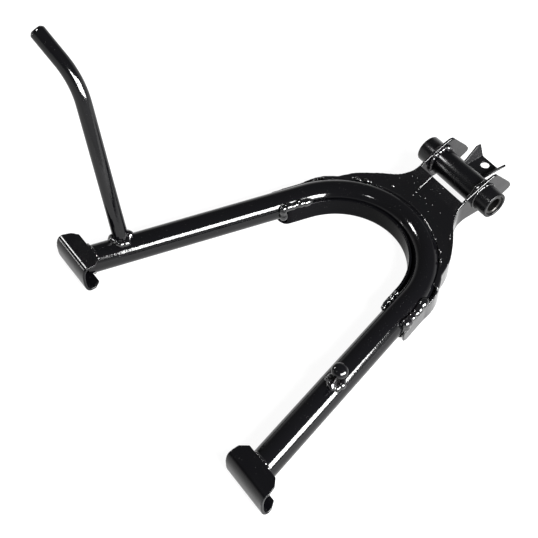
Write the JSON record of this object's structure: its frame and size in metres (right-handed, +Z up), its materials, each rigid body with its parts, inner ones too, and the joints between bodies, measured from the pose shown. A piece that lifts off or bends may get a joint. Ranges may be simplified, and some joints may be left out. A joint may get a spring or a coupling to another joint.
{
  "type": "motorcycle centre stand",
  "caption": "Welded tubular centre stand with a pivot tube, pressed bracket, kick bar, spring post and plate feet, lying flat.",
  "frame": {"origin": "middle of the pivot axis, halfway between the two ears", "axes": "+X along the pivot axis to the right leg, +Y from the feet towards the pivot, +Z up from the floor it lies on"},
  "size_m": [0.3854, 0.3818, 0.2026],
  "materials": {
    "frame_paint": "gloss black enamel, sprayed over steel tube and plate, with dust and small runs",
    "weld_paint": "gloss black enamel pooled over rippled weld beads",
    "bush_steel": "dark oiled steel bush"
  },
  "bodies": {
    "root": {"leg_tube": "frame_paint", "left_shoe": "frame_paint", "right_shoe": "frame_paint", "left_shoe_top_weld": "weld_paint", "right_shoe_top_weld": "weld_paint", "left_shoe_under_weld": "weld_paint", "right_shoe_under_weld": "weld_paint", "kick_bar": "frame_paint", "kick_bar_weld": "weld_paint", "spring_post": "frame_paint", "spring_post_weld": "weld_paint", "neck_channel": "frame_paint", "saddle_plate": "frame_paint", "pivot_tube": "frame_paint", "left_bush": "bush_steel", "right_bush": "bush_steel", "stop_bracket": "frame_paint", "stop_bracket_weld": "weld_paint", "left_inner_arm_weld": "weld_paint", "right_inner_arm_weld": "weld_paint", "left_outer_arm_weld": "weld_paint", "right_outer_arm_weld": "weld_paint", "left_ear_outer_weld": "weld_paint", "right_ear_outer_weld": "weld_paint", "left_ear_inner_weld": "weld_paint", "right_ear_inner_weld": "weld_paint", "crown_weld": "weld_paint", "neck_bead": "weld_paint"}
  },
  "joints": []
}
